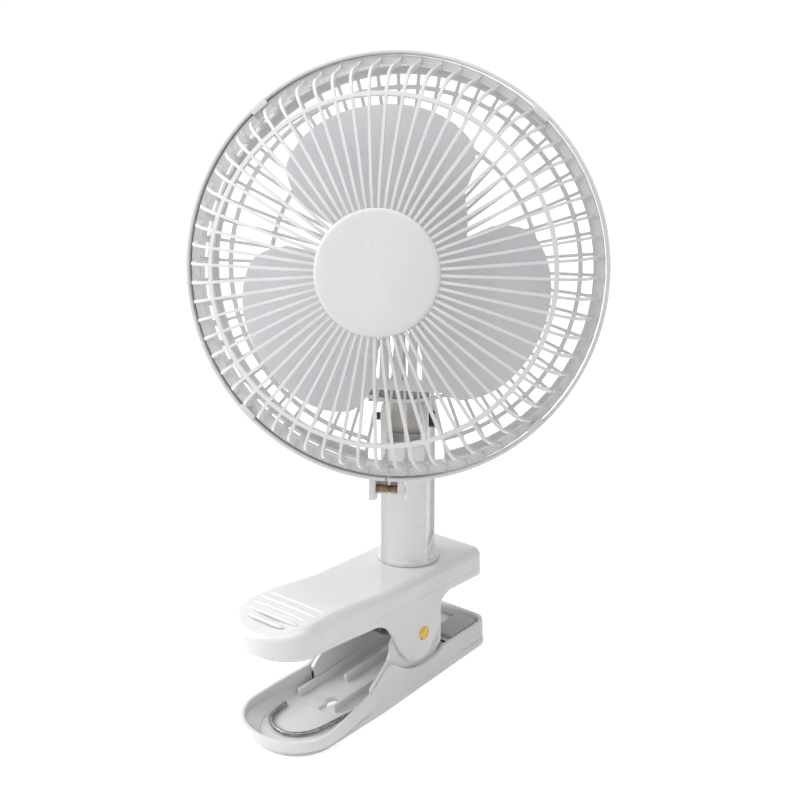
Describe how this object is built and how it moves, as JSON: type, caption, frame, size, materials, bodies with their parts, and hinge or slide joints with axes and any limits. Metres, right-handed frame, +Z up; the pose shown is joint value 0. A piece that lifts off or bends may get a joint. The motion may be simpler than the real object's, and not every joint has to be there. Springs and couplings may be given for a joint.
{
  "type": "clip fan",
  "caption": "Small round desk fan in white plastic on a swivelling, tilting neck, held by a wide sprung clip that grips a shelf or desk edge",
  "frame": {"origin": "on the flat underside of the clip's tray, below the swivel's foot", "axes": "+Z up from the table, +Y along the clip towards the jaws, -Y towards the squeeze handles, +X the clip's side that is nearer in the picture"},
  "size_m": [0.1862, 0.1708, 0.3213],
  "materials": {
    "white_plastic": "glossy injection-moulded white plastic",
    "beige_plastic": "satin beige-grey moulded plastic",
    "grey_brown_plastic": "satin dark grey-brown moulded plastic",
    "milky_plastic": "milky blue-grey translucent moulded plastic",
    "pad_rubber": "matte grey moulded rubber",
    "black_rubber": "matte black moulded rubber",
    "black_plastic": "satin black moulded plastic",
    "spring_steel": "dark oiled drawn spring steel",
    "zinc_steel": "zinc plated steel",
    "lamination_steel": "stacked punched silicon steel",
    "brass": "yellow passivated metal, brass coloured",
    "copper_wire": "enamelled copper winding"
  },
  "bodies": {
    "tray": {"clip_lower": "white_plastic", "lower_jaw_pad": "pad_rubber", "pivot_pin": "brass", "spring_sleeve": "beige_plastic", "torsion_spring": "spring_steel"},
    "jaw": {"clip_upper": "white_plastic", "upper_jaw_pad": "pad_rubber"},
    "neck": {"neck_column": "white_plastic", "neck_rear_cover": "beige_plastic", "neck_screw_lower": "zinc_steel", "neck_screw_upper": "zinc_steel", "swivel_washer": "zinc_steel", "swivel_screw": "zinc_steel", "tilt_bolt": "spring_steel", "tilt_nut": "zinc_steel", "tilt_washer_left": "zinc_steel", "tilt_washer_right": "zinc_steel"},
    "head": {"tilt_arm": "grey_brown_plastic", "arm_screw_left": "zinc_steel", "arm_screw_right": "zinc_steel", "front_guard": "white_plastic", "rear_guard": "white_plastic", "front_cap": "white_plastic", "clamp_hoop": "white_plastic", "clamp_screw": "brass", "clamp_nut": "brass", "motor_housing": "white_plastic", "housing_screw_left": "zinc_steel", "housing_screw_right": "zinc_steel", "motor_stator": "lamination_steel", "motor_coil": "copper_wire", "motor_bracket_front": "zinc_steel", "motor_bracket_rear": "zinc_steel", "motor_screw_left": "zinc_steel", "motor_screw_right": "zinc_steel", "bearing_front": "brass", "bearing_rear": "brass", "cable_gland": "black_rubber", "switch_body": "black_plastic"},
    "button": {"switch_button": "black_plastic"},
    "rotor": {"fan_blades": "milky_plastic", "motor_shaft": "zinc_steel", "blade_nut": "zinc_steel", "rotor_core": "lamination_steel"}
  },
  "joints": [
    {"name": "clip_squeeze", "type": "hinge", "parent": "tray", "child": "jaw", "pos_m": [0, -0.013, 0.029], "axis": [1, 0, 0], "range_deg": [0, 22], "stiffness_Nm_per_rad": 1.6, "springref_deg": -34.38},
    {"name": "neck_swivel", "type": "hinge", "parent": "jaw", "child": "neck", "pos_m": [0, 0.00555, 0.05874], "axis": [0, 0.0941, 0.9956], "range_deg": [-150, 90]},
    {"name": "head_tilt", "type": "hinge", "parent": "neck", "child": "head", "pos_m": [0, 0.0127, 0.1344], "axis": [0.8625, 0.5038, -0.0476], "range_deg": [-35, 40]},
    {"name": "switch_press", "type": "slide", "parent": "head", "child": "button", "axis": [0.4972, -0.8261, 0.2654], "range_m": [0, 0.0025], "stiffness_N_per_m": 500},
    {"name": "blade_spin", "type": "hinge", "parent": "head", "child": "rotor", "pos_m": [0.01973, -0.01265, 0.22347], "axis": [0.4972, -0.8261, 0.2654], "continuous": true}
  ]
}
